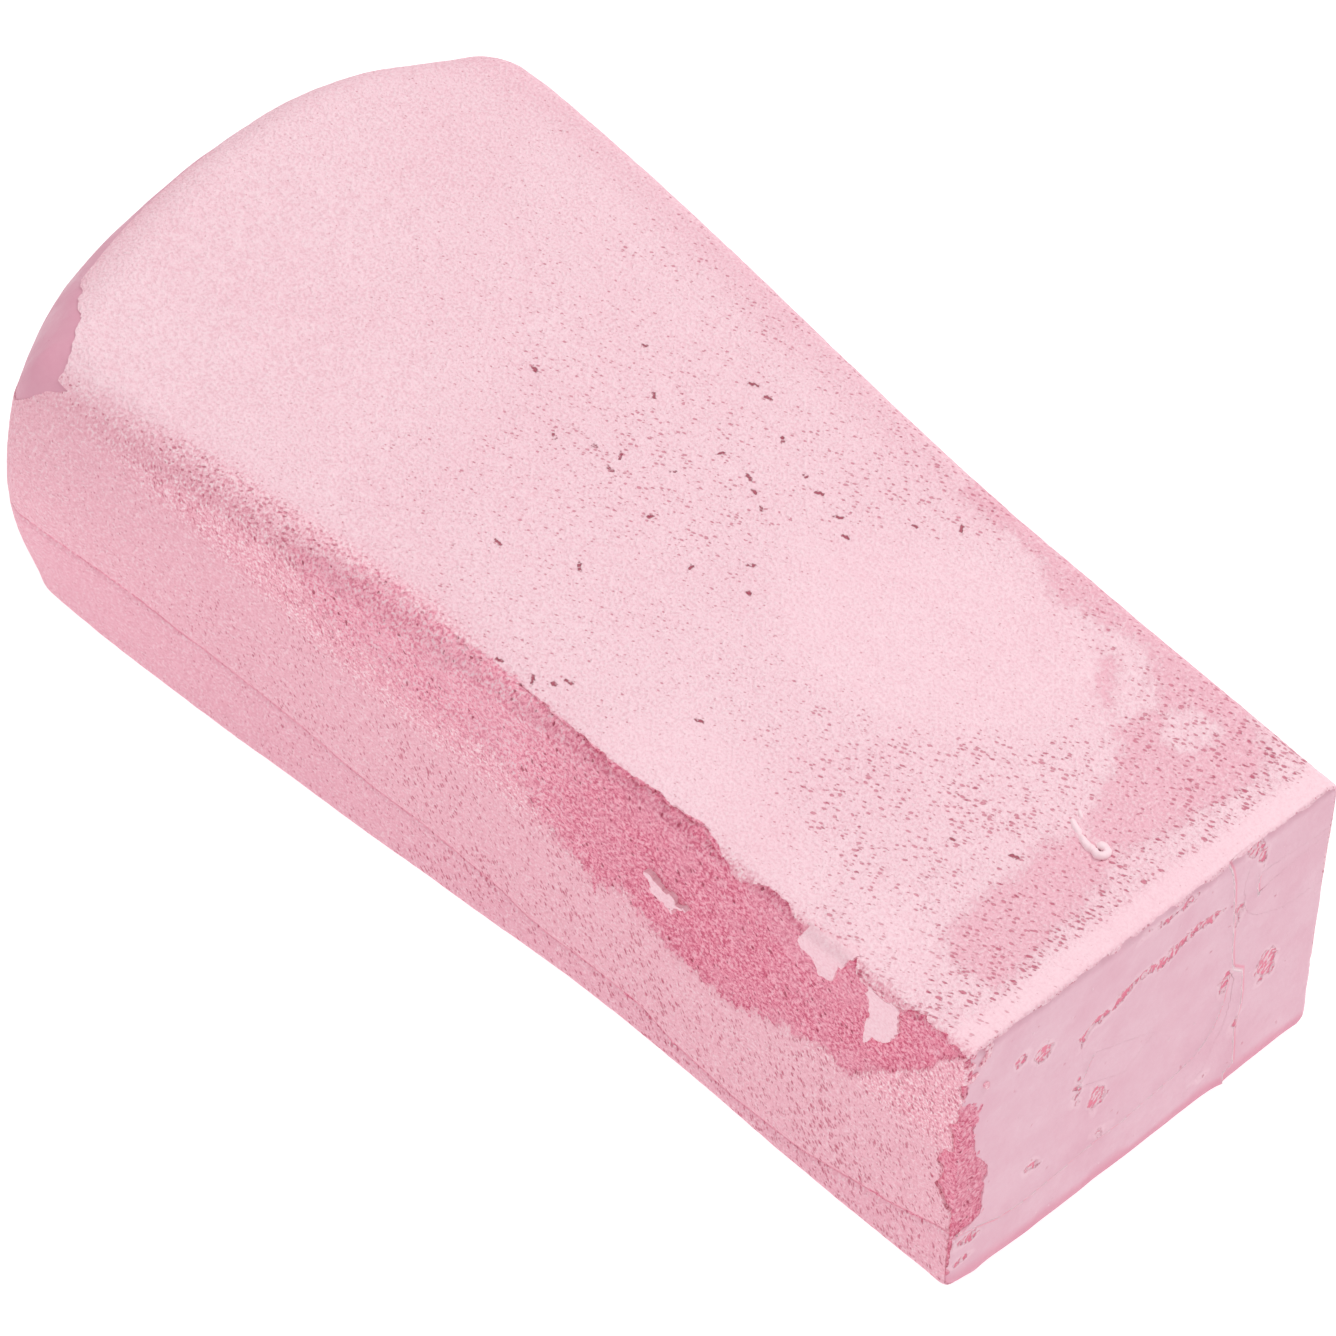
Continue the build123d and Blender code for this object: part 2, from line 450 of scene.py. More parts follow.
CHIP = [
    (0, 0.1), (12, 0.1), (14.4, 0.3), (15.9, 0.9), (17.2, 2.0), (19, 3.0), (20.5, 2.4), (22.9, 2.1),
    (23.4, 3.2), (25, 2.6), (26.3, 2.4), (27.2, 1.0), (31, 1.2), (34, 0.9), (35.6, 0.5), (36.4, 0.1),
    (37.4, 0.1), (38.2, 0.8), (39.5, 1.0), (40.3, 0.1), (45, 0.1),
]
FILM_LEFT = [
    (0, -30.9), (10.6, -30.9), (11.2, -27.5), (11.6, -26.4), (12.6, -25.9), (16.4, -26.1), (18.5, -25.5),
    (20.5, -25.6), (22.3, -26.5), (24, -27.6), (27.6, -28.5), (30, -28.4), (32.1, -28.7), (33.6, -28.0),
    (34.6, -28.8), (35.8, -30.4), (36.6, -31), (37.2, -31), (37.8, -29.9), (39, -29.9), (39.8, -30.6),
    (41, -30.4), (43.5, -30.1), (46, -30.1),
]
SEAM = [
    (0, 11.5), (1.4, 11.5), (5.9, 9.8), (10.1, 8.4), (12, 8.1), (24, 4.9), (36, 3.9), (46, 4.6), (52, 6.6),
    (62, 6.8), (67, 6.6), (71, 7.2), (75, 8.6), (81, 9.5), (88, 10.6), (97, 11.1), (103, 11.9), (107, 12.6),
    (113, 13.3), (120, 14.3), (125, 15.2), (129, 15.8), (133.5, 17.1), (139.4, 18.5), (145, 19.4),
    (150, 20), (158, 21), (180, 21),
]
SEAM_DEPTH = [(0, 0.25), (110, 0.2), (125, 0.2), (136, 0.35), (150, 0.4), (156, 0.12), (172, 0.1)]
SEAM_COLOUR = [(0, 0.9), (20, 0.8), (110, 0.7), (125, 0.7), (136, 1.1), (150, 1.1), (158, 0.35), (172, 0.3)]
NOTCH = [(-60, 150), (-40.3, 151), (-36.6, 152.7), (-33, 155.7), (-30.2, 159.6), (-26.6, 163),
         (-22.5, 165.3), (-18.7, 167.4), (-15, 169.5), (-10, 172), (-4, 180), (60, 180)]


# Worn and smooth areas of the top, as outlines in (d, y)
WORN = [
    [(48, 29), (45.6, 26.6), (41.6, 25.8), (39.4, 26.8), (34.9, 27.2), (30, 28.2), (25.2, 25.4),
     (22.2, 22.5), (22.9, 16), (19.5, 14), (16.3, 5.1), (14.5, 2.8), (10.1, 2), (8.1, 7.9),
     (7.4, 15.2), (6.7, 22.5), (8, 27), (20, 33), (48, 34)],
    [(15, 2.2), (16.2, -2.8), (15.2, -8), (15.5, -13.4), (14.4, -20.6), (10.1, -22.8), (4.5, -21.3),
     (5.2, -16.2), (6.4, -9.5), (7.7, -0.4), (9.7, 1.7)],
    [(64, 34), (62, 28.8), (54, 29), (48, 28.4), (46, 34)],
    [(33.5, 23.6), (31, 24.4), (27, 19.6), (25.6, 17.4), (28, 18.6)],
]
SLITS = [
    (93.5, -18.7), (84, -14.1), (102, -1.8), (97.6, 0.8), (94.3, 2.1), (93.4, -0.4), (84.4, -2.1),
    (92.2, 22.5), (89.3, 22.3), (83.1, 18.8), (86.4, 11.6), (81.2, 11.4), (79, 10.2), (76.5, 9),
    (76.8, 16.7), (73.6, 16), (69.2, 15.1), (66.4, 13.5), (70.5, 1.7), (67.4, -1.6), (75.1, -3.9),
    (56.7, -19.8), (23.9, -10.1), (17.3, -6.5), (84.9, -33.3), (79.5, -31.1), (74.5, -30.2),
    (72.3, -28.8), (71.3, -27.3), (106, 17), (99, 12), (88, 5), (62, 21), (58, 25), (112, 4),
]
slit_leans = rng.uniform(-1.2, 1.2, len(SLITS))
slit_halves = rng.uniform(0.25, 0.6, len(SLITS))
WORN_HOLE = [(18.7, 19.3), (20.7, 23), (18.8, 25.9), (14.4, 25.6), (14.2, 22.2), (16.1, 19.3)]
CALM = [
    [(60, -4.4), (69, 8.4), (64.4, 17.4), (51.3, 24.9), (44.8, 26.1), (34.2, 24.9), (27.8, 20.1),
     (28.9, 9.4), (34.7, 1.8), (40.5, -2.4), (49.9, -4.9)],
    [(23.7, -25.4), (22.6, -21.4), (18.5, -20.2), (13.3, -20.7), (11.5, -25), (12.3, -29.3),
     (15.8, -30.5), (20.1, -28.4)],
    [(62, -31), (60, -20), (48, -18), (38, -22), (30, -24), (27, -31)],
]

# Features of the narrow end's film, in (y, z)
END_LINES = [
    [(12, 45.6), (13.3, 40.5), (13.9, 34.7), (14.3, 28.9), (14.9, 23.8)],
    [(14.9, 23.6), (16.9, 21.6), (17.3, 17.1), (17.2, 13.5), (16.8, 10.5), (17.3, 3.4), (15.7, 2.9), (15.8, 0.4)],
    [(14.3, 23), (14, 18), (12.4, 13.8), (9.6, 11.4), (5.5, 10.4), (-0.1, 9.7), (-6, 9.1), (-14.4, 8.6),
     (-20, 7.9), (-23.2, 8.2), (-26.9, 10), (-30, 11)],
    [(-9, 27.6), (-10.2, 25), (-11.3, 22.7)],
    [(17.9, 38.6), (17.7, 36.8), (17.9, 35)],
]
END_STRIP = [(-11.3, 31), (-10.8, 32.4), (-9, 33.4), (-6.1, 33.8), (-4, 35.4), (-0.4, 35.9), (2.4, 35.9),
             (5.9, 36.8), (9.1, 36.9), (12, 36.9)]
END_STRIP_WIDTHS = [(-11.3, 0.2), (-8, 0.7), (-5, 0.3), (-2, 0.4), (2, 0.8), (6, 0.7), (9.5, 0.4), (12, 0.1)]
END_SPOTS = [
    (21.8, 18.4, 1.7, 2.5), (14.9, 33.4, 0.8, 1.3), (-17.8, 35.3, 1.5, 1.6), (-21.3, 36.9, 0.8, 0.9),
    (-7.3, 17.6, 1.3, 2.0), (-11.2, 21.8, 0.7, 1.5), (16.8, 43.8, 1.5, 0.9), (3, 43.3, 3.2, 0.5),
    (16.9, 10.6, 0.5, 1.1), (13.9, 22.3, 0.5, 1.2), (11.2, 5.2, 0.7, 0.4), (-18, 13.6, 1.0, 1.1),
    (-6.3, 10.3, 0.9, 0.5), (18.5, 41.2, 0.8, 1.2), (-28.2, 8.4, 1.2, 0.5), (-29.2, 4.9, 1.0, 0.5),
]


def girth_at(p):
    return from_near(p), girth(p)


FLAKES = [
    [(26.3, -2), (26.6, -4), (25, -4.6), (23.4, -6.1), (21.6, -6.6), (20.6, -4.4), (19.6, -2.2), (18.6, 1.6), (26, 1.2)],
    [(15.4, -2), (15.5, -7.7), (15.2, -11.2), (13.5, -10), (11, -8.1), (10.7, -4.5), (10.4, -1.4)],
    [(53, -12.2), (50.5, -13.2), (47.5, -13.4), (45, -14.6), (45.5, -16.2), (48, -16.4), (50.5, -15.8), (52.5, -13.8)],
]


def slit_distance(d, y):
    """Distance to the nearest of the open slits in the top."""
    best = np.full(np.shape(d), 3.0)
    for (d0, y0), lean, half in zip(SLITS, slit_leans, slit_halves):
        u, v = math.cos(lean), math.sin(lean)
        t = np.clip((d - d0) * u + (y - y0) * v, -half, half)
        best = np.minimum(best, np.hypot(d - d0 - t * u, y - y0 - t * v))
    return best


def flake_mask(p):
    d, g = girth_at(p)
    jag = 1.1 * fractal(p, 1.1, 3, 31) + 0.3 * noise(p, 3.5, 35)
    jag = jag * (1 + step(d, 30, 40))
    return np.maximum.reduce([within(outline, d, g) for outline in FLAKES]) + jag - 0.1


def top_crust_mask(p):
    d, y, z, g = from_near(p), p[..., 1], p[..., 2], girth(p)
    jag = 1.3 * fractal(p, 3.2, 3, 41) + 0.7 * noise(p, 0.9, 43)
    left = g - along(TOP_TEAR, d) - jag * step(d, 118, 108)
    near = d - (height - z) + 0.7 + 0.9 * fractal(p, 1.8, 2, 45) + 0.3 * noise(p, 9, 46)
    low = z - (height - 2.3) + 0.3 * noise(p, 6, 4)
    notch = along(NOTCH, y) + 0.8 * jag - d
    return np.minimum.reduce([left, near, low, notch])


def wrap_edge(p):
    """How far across the wide end the side crusts stop, torn like their other edges."""
    return CORNER_WRAP + 1.3 * fractal(p, 4.5, 3, 67) + 0.9 * noise(p, 14, 68)


def left_crust_mask(p):
    d, y, z = from_near(p), p[..., 1], p[..., 2]
    jag = 1.6 * fractal(p, 3.2, 3, 51) + 0.7 * noise(p, 1.0, 53)
    ragged = jag * np.maximum(step(d, 118, 108), 0.4 * step(d, 148, 151))
    upper = height + along(LEFT_TEAR, d) + along(LEFT_TUCK, d) + ragged - z
    near = d - along(CHIP, z) - 0.9 * fractal(p, 1.3, 3, 57)
    seam = z - along(SEAM, d)
    return np.minimum.reduce([upper, near, seam, -wrap_edge(p) - y])


def right_crust_mask(p):
    d, y, z = from_near(p), p[..., 1], p[..., 2]
    return np.minimum.reduce([height - 1.6 - z, z - along(SEAM, d), y - wrap_edge(p), d - 0.2])


def base_crust_mask(p):
    d, y, z = from_near(p), p[..., 1], p[..., 2]
    return np.minimum.reduce([along(SEAM, d) + 0.6 - z, d - 0.2])


def near_film_mask(p):
    d, y, z = from_near(p), p[..., 1], p[..., 2]
    left = y - along(FILM_LEFT, z) - 0.9 * fractal(p, 1.2, 3, 55)
    return np.minimum.reduce([0.9 - d, left])


def far_film_mask(p):
    d, y, z = from_near(p), p[..., 1], p[..., 2]
    top_edge = np.where(y < -8, height + 1, height - 1.6) - z
    round_corner = np.where(y < 0, z - 34, -5.0)
    across = np.maximum(CORNER_WRAP + 2.8 - np.abs(y), round_corner)
    return np.minimum.reduce([d - 148.5, top_edge, z - along(SEAM, d), across])


# ---------------------------------------------------------------- relief, millimetres outward

def swell(p):
    """Slow unevenness that every layer shares."""
    return 0.2 * noise(p, 32, 1) + 0.1 * noise(p, 12, 2) + 0.05 * fractal(p, 4.5, 2, 3)


def groove(distance, width, depth_of):
    return -depth_of * np.exp(-((distance / width) ** 2))


def crust_rise(p, out):
    wall = step(out[..., 2], 0.7, 0.3)
    seam = p[..., 2] - along(SEAM, from_near(p))
    return swell(p) + 0.05 * fractal(p, 1.6, 2, 5) + wall * groove(seam, 0.5, along(SEAM_DEPTH, from_near(p)))


def top_rise(p, out):
    d, above = from_near(p), girth(p) - along(TOP_TEAR, from_near(p))
    torn = step(d, 118, 108)
    sunk = mix(0.05 * step(above, 1, 0), step(d, 60, 80) * 0.4 * step(above, 3, -1), torn)
    return crust_rise(p, out) - (p[..., 1] < 0) * sunk


def left_rise(p, out):
    d, under = from_near(p), height + along(LEFT_TEAR, from_near(p)) - p[..., 2]
    torn = step(d, 118, 108)
    tuck = along(LEFT_TUCK, d)
    return crust_rise(p, out) - mix(0.06, 0.7 * step(under, tuck, -tuck), torn) * (out[..., 2] < 0.97)


def base_rise(p, out):
    d, z = from_near(p), p[..., 2]
    seam = along(SEAM, d) - z
    return crust_rise(p, out) - 0.15 * step(seam, 0.2, -0.2)


def end_patch(p):
    """Signed distance into the crumbled patches of the narrow end's film."""
    y, z = p[..., 1], p[..., 2]
    strip = along(END_STRIP_WIDTHS, y) - nearest_on(END_STRIP, y, z)[0]
    ragged = 0.8 * fractal(p, 1.3, 2, 61)
    return np.where(from_near(p) < 3, np.maximum(blots(END_SPOTS, y, z), strip) + ragged, -3.0)


def end_crease(p):
    """Signed distance to the nearest fold line of the narrow end's film."""
    y, z = p[..., 1], p[..., 2]
    found = [nearest_on(line, y, z) for line in END_LINES]
    away = np.stack([f[0] for f in found])
    side = np.stack([f[1] for f in found])
    pick = away.argmin(0)[None]
    signed = np.take_along_axis(away, pick, 0)[0] * np.take_along_axis(side, pick, 0)[0]
    return np.where(from_near(p) < 3, signed, 5.0)


def film_rise(p, out):
    under_lip = 0.4 * step(p[..., 2], height - 2.6, height - 1) * (from_near(p) < 3)
    rise = swell(p) - FILM_DEPTH - under_lip + 0.07 * noise(p, 3.0, 8) + 0.16 * noise(p, 8.0, 9)
    beside = end_crease(p)
    rise = rise + 0.2 * np.exp(-((beside / 1.1) ** 2)) * (beside > 0) + 0.16 * np.exp(-((beside / 0.35) ** 2))
    return rise - 0.2 * step(end_patch(p), -0.1, 0.35)


def flake_rise(p, out):
    return swell(p) + 0.12 + 0.25 * step(girth(p), -5, -9) + 0.08 * noise(p, 2.0, 63)


def core_rise(p, out):
    d, y, z = from_near(p), p[..., 1], p[..., 2]
    grains = 0.26 * fractal(p, 1.3, 2, 12) + 0.16 * fractal(p, 4.0, 2, 14)
    covered = step(y - along(FILM_LEFT, z), 0.4, 1.6) * (d < 1.5)
    return swell(p) - CORE_DEPTH + grains * step(d, 170, 90) - 0.5 * covered


# ---------------------------------------------------------------- traits that the finishes read

def traits(p, out):
    d, y, z, g = from_near(p), p[..., 1], p[..., 2], girth(p)
    wall = step(out[..., 2], 0.75, 0.35)
    top = 1 - wall
    # Painted shade: left marks the left side and its arris, which face away from the key light; the finish tints them
    # a deeper, more saturated pink that stands in for the pink shade there.
    left = step(out[..., 2], 0.98, 0.6) * (y < 0) * step(out[..., 0], 0.8, 0.5)
    end = step(out[..., 0], 0.5, 0.85)
    below = step(z - along(SEAM, d), 0.3, -0.3) * wall * (1 - end)
    faded = step(d + 4 * noise(p, 6, 77), 57, 74)
    # band marks the rounded left arris from the middle towards the wide end, where the crust is thin and densely
    # pitted; its pink tint is partly that thin crust and partly painted shade on the rounding.
    strip = step(g - along(BAND_LOW, d), -3, 3.5) * step(g - along(BAND_TOP, d), 1, -1.6) * (y < 0)
    band = strip * step(d, 160, 112)
    above = g - along(TOP_TEAR, d)
    under = height + along(LEFT_TEAR, d) - z
    torn = step(d, 116, 106)
    raw = np.where(above > 0, 1 - above / along(TOP_FADE, d), 1 - np.maximum(under, 0) / along(LEFT_FADE, d)) * torn
    raw = np.clip(np.where(y < 0, raw, -2), -2, 1) - 2 * (1 - torn)
    raw = np.maximum(raw, np.where(band > 0.02, along(BAND_RAW, d) - 1.2 * (1 - band), -2))
    worn = np.maximum.reduce([within(outline, d, y) for outline in WORN])
    worn = np.minimum(worn, -within(WORN_HOLE, d, y))
    worn = np.where(top > 0.3, worn, -6.0)
    calm = np.maximum.reduce([within(outline, d, y) for outline in CALM])
    lip = step(d, 4.4 + 0.8 * noise(p, 4, 71), 2.6)
    calm_top = np.maximum(lip, step(calm, -4, 4) * 0.75) * top
    lip = np.maximum(lip, step(calm, -4, 4) * 0.3) * top
    open_top = mix(0.75, 0.25, step(d, 95, 150)) + 0.2 * step(d, 60, 30) - 0.25 * step(-y, -5, 15) * step(d, 40, 60)
    open_left = mix(1.0, 0.25, step(d, 75, 160))
    opened = mix(open_top * (1 - calm_top), open_left, wall)
    opened = np.maximum(opened, strip * mix(0.9, 0.45, step(d, 120, 168)))
    harsh = top * step(d, 12.5, 10) * (1 - calm_top) * step(worn, 1.5, 0) + 0.6 * top * step(d, 26, 20) * step(y, -8, -20)
    harsh = harsh + 0.8 * left * (1 - top) * step(d, 60, 15)
    crease = np.where(end > 0.5, end_crease(p), z - along(SEAM, d))
    fold = np.where(end > 0.5, 0.8, wall * along(SEAM_COLOUR, d))
    foot = step(out[..., 0], 0.0, 0.3) * step(z, 3.4 + 0.8 * noise(p, 3, 75), 1.4)
    # Painted shade: rim marks the top within a few millimetres of its right and far rims, where it rolls over towards
    # the sides.
    rim = step(-depth_inside(p), -9, -2) * step(d, 40, 90)
    return {
        "wall": wall, "left": left, "end": end, "below": below, "faded": faded, "band": band, "worn": worn,
        "open": np.clip(opened, 0, 1), "harsh": np.clip(harsh, 0, 1), "lip": np.clip(lip, 0, 1),
        "crease": np.clip(crease, -5, 5), "fold": fold, "patch": end_patch(p), "rim": rim,
        "raw": np.clip(raw, -2, 1), "foot": foot,
        "slit": np.where(top > 0.3, slit_distance(d, y), 3.0),
    }


def depth_inside(p):
    """How far a point of the top lies inside the right and far rims."""
    middle = p.copy()
    middle[..., 2] = mid_height
    plan = depth(middle)
    return np.where(p[..., 1] < -CORNER_WRAP, np.maximum(plan, 6), plan)


# ---------------------------------------------------------------- finishes

def socket(tree, value, target):
    if isinstance(value, bpy.types.NodeSocket):
        tree.links.new(value, target)
    else:
        target.default_value = value


def node(tree, kind, inputs, output=0, **settings):
    """Adds a node, fills its inputs with values or links, and returns one of its outputs."""
    made = tree.nodes.new(kind)
    for key, value in settings.items():
        setattr(made, key, value)
    for key, value in inputs.items():
        socket(tree, value, made.inputs[key])
    return made.outputs[output]


def calc(tree, operation, a, b=0.0, c=0.0):
    return node(tree, "ShaderNodeMath", {0: a, 1: b, 2: c}, operation=operation)


def ramp(tree, value, low, high, to_low=0.0, to_high=1.0):
    inputs = {"Value": value, "From Min": low, "From Max": high, "To Min": to_low, "To Max": to_high}
    return node(tree, "ShaderNodeMapRange", inputs, interpolation_type="SMOOTHSTEP")


def tint(tree, amount, a, b):
    made = tree.nodes.new("ShaderNodeMix")
    made.data_type = "RGBA"
    socket(tree, amount, made.inputs[0])
    socket(tree, a, made.inputs[6])
    socket(tree, b, made.inputs[7])
    return made.outputs[2]


def trait(tree, name):
    made = tree.nodes.new("ShaderNodeAttribute")
    made.attribute_name = name
    return made.outputs["Fac"]


def place(tree, turn=(0, 0, 0), stretch=(1, 1, 1), shift=(0, 0, 0)):
    """Millimetre coordinates, turned by degrees and divided by stretch."""
    where = tree.nodes.new("ShaderNodeTexCoord").outputs["Object"]
    turned = node(tree, "ShaderNodeMapping", {
        "Vector": where,
        "Rotation": [math.radians(a) for a in turn],
        "Scale": (1 / MM,) * 3,
        "Location": shift,
    })
    return node(tree, "ShaderNodeVectorMath", {0: turned, 1: [1 / s for s in stretch]}, operation="MULTIPLY")


def cloud(tree, where, size, detail=2.0, roughness=0.5):
    inputs = {"Vector": where, "Scale": 1 / size, "Detail": detail, "Roughness": roughness}
    return node(tree, "ShaderNodeTexNoise", inputs)


def finish(name, colour, roughness, relief, sheen=0.0):
    """Sets up a material; the three callables add nodes and return sockets."""
    material = bpy.data.materials.new(name)
    material.use_nodes = True
    tree = material.node_tree
    shader = tree.nodes["Principled BSDF"]
    height_socket, distance = relief(tree)
    bump = node(tree, "ShaderNodeBump", {"Height": height_socket, "Distance": distance, "Strength": 1.0})
    socket(tree, colour(tree), shader.inputs["Base Color"])
    socket(tree, roughness(tree), shader.inputs["Roughness"])
    tree.links.new(bump, shader.inputs["Normal"])
    shader.inputs["Specular IOR Level"].default_value = 0.3
    return material


PALEST = (1.0, 0.80, 0.84, 1)
PALE = (0.955, 0.665, 0.735, 1)
# Painted shade: the deeper pink of the left side and arris.
LEFT_PAINTED_SHADE_PINK = (0.90, 0.49, 0.575, 1)
PALE_END = (0.89, 0.58, 0.655, 1)
DEEPER = (0.87, 0.43, 0.53, 1)
WORN_PINK = (0.87, 0.44, 0.535, 1)
CORE_PINK = (0.84, 0.27, 0.38, 1)
BAND_PINK_WITH_PAINTED_SHADE = (1.0, 0.42, 0.53, 1)
FADED_PINK = (0.96, 0.43, 0.54, 1)
CORE_PALE = (0.97, 0.52, 0.62, 1)
CORE_DEEP = (0.62, 0.09, 0.18, 1)
FILM_PINK = (0.81, 0.50, 0.59, 1)
FILM_DEEP = (0.76, 0.40, 0.50, 1)
CRIMSON = (0.84, 0.19, 0.30, 1)
FILM_SHADE = (0.66, 0.22, 0.33, 1)
FOOT_PINK = (0.76, 0.31, 0.42, 1)
PIT_PINK = (0.58, 0.095, 0.17, 1)
PIT_DARK = (0.36, 0.02, 0.06, 1)


def times(tree, *values):
    total = values[0]
    for value in values[1:]:
        total = calc(tree, "MULTIPLY", total, value)
    return total


def both(tree, a, b, share):
    """a where share is 0 and b where it's 1."""
    return calc(tree, "MULTIPLY_ADD", calc(tree, "SUBTRACT", b, a), share, a)


def pores(tree, size, stretch, shift, low, high, share, lying=False):
    """Small pits, one to a cell, whose size grows from low to high with the share; 0 to 1.
    They are drawn out one way on lying faces and another on walls."""
    if lying:
        where = place(tree, (0, 0, -20), (stretch, 1, 1), shift)
    else:
        where = place(tree, (0, 25, 0), (1, 1, stretch), shift)
    bend = node(tree, "ShaderNodeTexNoise", {"Vector": where, "Scale": 1.6 / size, "Detail": 1.0}, 1)
    bent = node(tree, "ShaderNodeVectorMath", {0: bend, 1: (size * 0.5,) * 3, 2: where}, operation="MULTIPLY_ADD")
    cells = tree.nodes.new("ShaderNodeTexVoronoi")
    socket(tree, bent, cells.inputs["Vector"])
    socket(tree, 1 / size, cells.inputs["Scale"])
    chance = node(tree, "ShaderNodeSeparateColor", {"Color": cells.outputs["Color"]}, 0)
    radius = calc(tree, "MULTIPLY", both(tree, low, high, share), calc(tree, "MULTIPLY_ADD", chance, 1.5, -0.35))
    return ramp(tree, calc(tree, "SUBTRACT", cells.outputs["Distance"], radius), 0.08, -0.08)


def crust_marks(tree, lying):
    """Fine pores, bold pores and rare slits, each from 0 to 1."""
    patchy = ramp(tree, cloud(tree, place(tree, shift=(3, 9, 1)), 14.0, 3.0), 0.35, 0.65, -0.25, 0.25)
    share = calc(tree, "MULTIPLY_ADD", patchy, trait(tree, "open"), trait(tree, "open"))
    fine = pores(tree, 0.47, 1.8, (0, 0, 0), 0.08, 0.38, share, lying)
    bold = pores(tree, 0.64, 2.0, (4, 7, 2), -0.12, 0.19, share, lying)
    harsh = trait(tree, "harsh")
    bold = calc(tree, "MAXIMUM", bold, times(tree, pores(tree, 0.5, 2.3, (1, 2, 8), 0.15, 0.4, harsh, lying), harsh))
    wander = calc(tree, "MULTIPLY_ADD", cloud(tree, place(tree), 0.45, 2.0), 0.7, -0.35)
    slits = ramp(tree, calc(tree, "ADD", trait(tree, "slit"), wander), 0.3, 0.12)
    return fine, bold, slits


def crease_line(tree, width):
    away = calc(tree, "ABSOLUTE", trait(tree, "crease"))
    return times(tree, ramp(tree, away, width, 0.0), trait(tree, "fold"))


def leather(tree):
    """The all-over grain of the crust, from about 0.3 to 0.7."""
    return cloud(tree, place(tree), 0.4, 2.0, 0.6)


def crust_relief(tree, lying):
    fine, bold, slits = crust_marks(tree, lying)
    lumps = cloud(tree, place(tree, shift=(5, 5, 5)), 2.0, 3.0, 0.6)
    rough = both(tree, 1.0, 0.25, trait(tree, "lip"))
    total = times(tree, calc(tree, "SUBTRACT", leather(tree), 0.5), 0.28, rough)
    total = calc(tree, "MULTIPLY_ADD", calc(tree, "SUBTRACT", lumps, 0.5), 0.14, total)
    total = calc(tree, "MULTIPLY_ADD", fine, -0.05, total)
    total = calc(tree, "MULTIPLY_ADD", bold, -0.08, total)
    total = calc(tree, "MULTIPLY_ADD", worn_share(tree), -0.06, total)
    total = calc(tree, "MULTIPLY_ADD", crease_line(tree, 0.25), -0.1, total)
    total = calc(tree, "MULTIPLY_ADD", slits, -0.15, total)
    return both(tree, total, core_relief(tree)[0], raw_share(tree)), MM


def worn_share(tree):
    """Where the pale skin of the top has rubbed through, from 0 to 1."""
    edge = calc(tree, "MULTIPLY_ADD", cloud(tree, place(tree, shift=(2, 5, 0)), 2.2, 6.0, 0.75), 8.0, -4.0)
    return ramp(tree, calc(tree, "ADD", trait(tree, "worn"), edge), -1.1, 1.1)


def raw_share(tree):
    """Where the crust is worn down to the core, grain by grain, from 0 to 1."""
    grain = calc(tree, "MULTIPLY_ADD", cloud(tree, place(tree, shift=(6, 1, 3)), 1.3, 4.0, 0.75), 3.0, -1.5)
    return ramp(tree, calc(tree, "ADD", trait(tree, "raw"), grain), 0.3, 0.7)


def crust_colour(tree, lying):
    fine, bold, slits = crust_marks(tree, lying)
    # Painted shade: the left side and arris turn a deeper pink where they face away from the light.
    base = tint(tree, trait(tree, "left"), PALE, LEFT_PAINTED_SHADE_PINK)
    base = tint(tree, trait(tree, "end"), base, PALE_END)
    base = tint(tree, times(tree, trait(tree, "below"), 0.6), base, DEEPER)
    # Painted shade: a deeper pink towards the right and far rims of the top.
    base = tint(tree, times(tree, trait(tree, "rim"), 0.28), base, DEEPER)
    broad = ramp(tree, cloud(tree, place(tree), 26.0, 3.0, 0.6), 0.35, 0.75)
    base = tint(tree, times(tree, broad, 0.2), base, DEEPER)
    mottled = ramp(tree, cloud(tree, place(tree, shift=(7, 0, 0)), 1.6, 4.0, 0.7), 0.3, 0.75)
    base = tint(tree, times(tree, mottled, 0.16), base, DEEPER)
    base = tint(tree, times(tree, worn_share(tree), 0.7), base, WORN_PINK)
    base = tint(tree, times(tree, trait(tree, "lip"), 0.1), base, PALEST)
    # Painted shade and painted highlight on the fine grain: the hollows of the leather grain are tinted towards the
    # pit pink and its crests towards the palest pink, more so in the arris band and less on the smooth lip.
    relief = calc(tree, "MULTIPLY_ADD", trait(tree, "band"), 0.4, both(tree, 0.17, 0.07, trait(tree, "lip")))
    base = tint(tree, times(tree, ramp(tree, leather(tree), 0.5, 0.36), relief), base, PIT_PINK)
    base = tint(tree, times(tree, ramp(tree, leather(tree), 0.52, 0.66), relief, 2.2), base, PALEST)
    # Partly the thin pitted crust of the left arris, partly painted shade on its rounding.
    base = tint(tree, times(tree, trait(tree, "band"), 0.28), base, BAND_PINK_WITH_PAINTED_SHADE)
    base = tint(tree, times(tree, trait(tree, "foot"), 0.45), base, FILM_DEEP)
    base = tint(tree, times(tree, crease_line(tree, 0.34), 0.8), base, CORE_PINK)
    base = tint(tree, times(tree, fine, 0.6), base, PIT_PINK)
    base = tint(tree, times(tree, bold, 0.75), base, PIT_PINK)
    base = tint(tree, times(tree, slits, 0.85), base, PIT_DARK)
    return tint(tree, raw_share(tree), base, core_colour(tree))


def crumb_colour(tree):
    return tint(tree, 0.6, crust_colour(tree, lying=True), PALEST)


def chalky(tree):
    return ramp(tree, cloud(tree, place(tree), 3.0, 2.0), 0.3, 0.7, 0.72, 0.92)


def core_grain(tree):
    """Crumbs about half a millimetre across, from about 0.2 to 0.8."""
    return cloud(tree, place(tree), 0.46, 2.0, 0.7)


def core_holes(tree):
    return pores(tree, 0.85, 1.6, (3, 3, 1), 0.22, 0.22, 1.0)


def core_relief(tree):
    lumps = cloud(tree, place(tree, shift=(2, 2, 2)), 2.0, 2.0, 0.5)
    total = times(tree, calc(tree, "SUBTRACT", core_grain(tree), 0.5), 0.4)
    total = calc(tree, "MULTIPLY_ADD", calc(tree, "SUBTRACT", lumps, 0.5), 0.25, total)
    return calc(tree, "MULTIPLY_ADD", core_holes(tree), -0.1, total), MM


